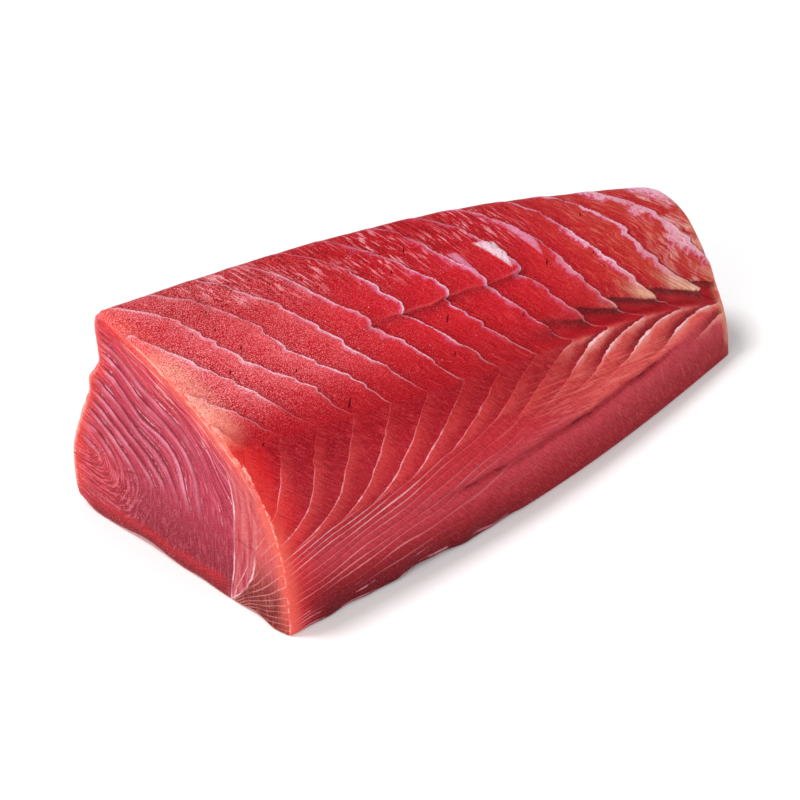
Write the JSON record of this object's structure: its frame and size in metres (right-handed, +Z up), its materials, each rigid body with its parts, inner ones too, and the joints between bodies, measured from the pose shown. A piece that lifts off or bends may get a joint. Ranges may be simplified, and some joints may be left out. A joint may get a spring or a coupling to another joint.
{
  "type": "raw tuna loin block",
  "caption": "Block of raw tuna loin, thick at one square cut end and tapering to the other, with chevron muscle flakes over its front and domed top, resting on a flat underside.",
  "frame": {"origin": "middle of the footprint, on the flat underside", "axes": "+X along the fish from the thick cut end to the thin one, +Y from the sloping front to the back, +Z up"},
  "size_m": [0.2348, 0.1146, 0.0855],
  "materials": {
    "flesh": "wet raw fish flesh, deep red with pale flake edges"
  },
  "bodies": {
    "root": {"tuna_loin": "flesh"}
  },
  "joints": []
}
